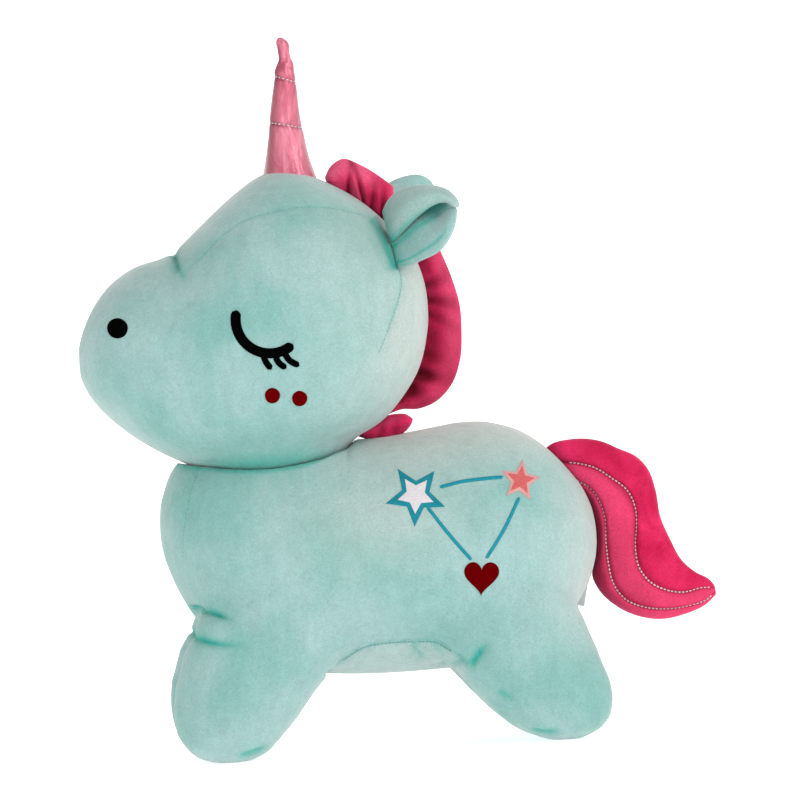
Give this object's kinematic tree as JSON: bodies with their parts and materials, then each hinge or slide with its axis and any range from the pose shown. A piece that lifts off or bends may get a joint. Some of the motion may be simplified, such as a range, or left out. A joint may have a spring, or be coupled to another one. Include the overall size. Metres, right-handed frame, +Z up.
{
  "type": "plush unicorn",
  "caption": "Standing plush unicorn with a stuffed body on short legs, a large head on a soft neck seat, folded ears, a leaning horn, a gathered mane and a quilted tail.",
  "frame": {"origin": "on the floor under the middle of the overall box, between the four feet", "axes": "+Z up; the unicorn faces -X, its tail is towards +X and its left side faces -Y"},
  "size_m": [0.3734, 0.1574, 0.4312],
  "materials": {
    "mint_plush": "short-pile plush, mint green",
    "polyester_fill": "white polyester fibre",
    "white_thread": "white polyester thread",
    "teal_thread": "teal rayon embroidery thread",
    "pink_thread": "pink rayon embroidery thread",
    "red_thread": "dark red embroidery thread",
    "black_thread": "black embroidery thread",
    "magenta_plush": "short-pile plush, deep pink",
    "pink_pu_leather": "metallic pink coated cloth",
    "label_satin": "blank satin ribbon"
  },
  "bodies": {
    "torso": {"torso_left_panel": "mint_plush", "torso_right_panel": "mint_plush", "chest_panel": "mint_plush", "belly_panel": "mint_plush", "torso_stuffing": "polyester_fill", "white_star": "white_thread", "white_star_edge": "teal_thread", "pink_star": "pink_thread", "red_heart": "red_thread", "star_links": "teal_thread", "mane_curl": "magenta_plush"},
    "neck": {"neck_thread": "white_thread"},
    "head": {"head_left_panel": "mint_plush", "head_right_panel": "mint_plush", "head_gusset": "mint_plush", "head_stuffing": "polyester_fill", "left_eye": "black_thread", "right_eye": "black_thread", "left_nostril": "black_thread", "right_nostril": "black_thread", "left_cheek_dots": "red_thread", "right_cheek_dots": "red_thread", "mane_forelock": "magenta_plush", "mane_back_ruffle": "magenta_plush"},
    "horn": {"horn_cover": "pink_pu_leather", "horn_stuffing": "polyester_fill", "horn_stitches": "white_thread"},
    "left_ear": {"left_ear_outer": "mint_plush", "left_ear_lining": "mint_plush"},
    "right_ear": {"right_ear_outer": "mint_plush", "right_ear_lining": "mint_plush"},
    "tail": {"tail_left_panel": "magenta_plush", "tail_right_panel": "magenta_plush", "tail_stuffing": "polyester_fill", "tail_stitches": "white_thread"},
    "label": {"label": "label_satin"}
  },
  "joints": [
    {"name": "head_turn", "type": "hinge", "parent": "torso", "child": "neck", "pos_m": [-0.078, 0, 0.25], "axis": [0, 0, 1], "range_deg": [-15, 15], "stiffness_Nm_per_rad": 2},
    {"name": "head_nod", "type": "hinge", "parent": "neck", "child": "head", "pos_m": [-0.078, 0, 0.25], "axis": [0, 1, 0], "range_deg": [-6, 3], "stiffness_Nm_per_rad": 2.5},
    {"name": "horn_lean", "type": "hinge", "parent": "head", "child": "horn", "pos_m": [-0.054, 0, 0.359], "axis": [0, 1, 0], "range_deg": [-15, 15], "stiffness_Nm_per_rad": 0.2},
    {"name": "left_ear_flop", "type": "hinge", "parent": "head", "child": "left_ear", "pos_m": [0.006, -0.039, 0.287], "axis": [-0.2289, 0.5341, 0.8139], "range_deg": [-25, 25], "stiffness_Nm_per_rad": 0.05},
    {"name": "right_ear_flop", "type": "hinge", "parent": "head", "child": "right_ear", "pos_m": [0.006, 0.039, 0.287], "axis": [-0.2289, -0.5341, 0.8139], "range_deg": [-25, 25], "stiffness_Nm_per_rad": 0.05},
    {"name": "tail_swing", "type": "hinge", "parent": "torso", "child": "tail", "pos_m": [0.106, 0, 0.153], "axis": [-0.669, 0, 0.7433], "range_deg": [-30, 30], "stiffness_Nm_per_rad": 0.15},
    {"name": "label_flap", "type": "hinge", "parent": "torso", "child": "label", "pos_m": [0.1045, 0, 0.085], "axis": [0.2756, 0, 0.9613], "range_deg": [-40, 40], "stiffness_Nm_per_rad": 0.002}
  ]
}
